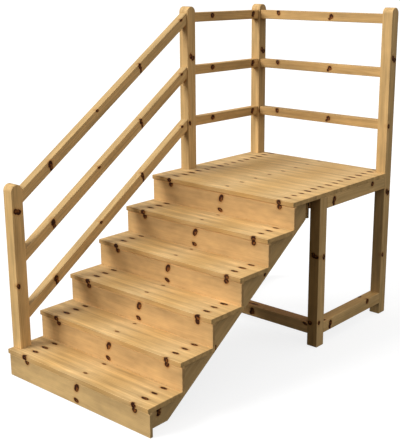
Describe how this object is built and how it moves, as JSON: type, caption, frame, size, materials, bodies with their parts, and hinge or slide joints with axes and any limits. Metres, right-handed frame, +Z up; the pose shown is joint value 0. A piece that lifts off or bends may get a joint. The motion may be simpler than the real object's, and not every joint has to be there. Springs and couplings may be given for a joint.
{
  "type": "wooden deck stairs",
  "caption": "Straight flight of closed timber steps climbing to a raised landing on square legs, with level and sloping guard rails on the left and across the back.",
  "frame": {"origin": "middle of the footprint, on the ground", "axes": "+Z up, +Y the way the flight climbs, +X to the open right side of someone climbing it"},
  "size_m": [1.233, 2.448, 2.1959],
  "materials": {
    "pine_boards": "satin planed pine with dark knots",
    "pine_posts": "satin planed pine with dark knots",
    "pine_rails": "satin planed pine with dark knots",
    "pine_frame": "satin planed pine, a little darker"
  },
  "bodies": {
    "root": {"stringer_left": "pine_frame", "stringer_right": "pine_frame", "hanger_board": "pine_frame", "riser_1": "pine_boards", "riser_2": "pine_boards", "riser_3": "pine_boards", "riser_4": "pine_boards", "riser_5": "pine_boards", "riser_6": "pine_boards", "tread_1": "pine_boards", "tread_2": "pine_boards", "tread_3": "pine_boards", "tread_4": "pine_boards", "tread_5": "pine_boards", "deck": "pine_boards", "newel_post": "pine_posts", "post_front_left": "pine_posts", "post_back_left": "pine_posts", "post_back_right": "pine_posts", "leg_front_right": "pine_posts", "beam_front": "pine_frame", "beam_back": "pine_frame", "beam_left": "pine_frame", "beam_right": "pine_frame", "lower_rail_front": "pine_frame", "lower_rail_left": "pine_frame", "lower_rail_right": "pine_frame", "guard_left_low": "pine_rails", "guard_left_middle": "pine_rails", "guard_left_top": "pine_rails", "guard_back_low": "pine_rails", "guard_back_middle": "pine_rails", "guard_back_top": "pine_rails", "handrail_low": "pine_rails", "handrail_middle": "pine_rails", "handrail_top": "pine_rails"}
  },
  "joints": []
}
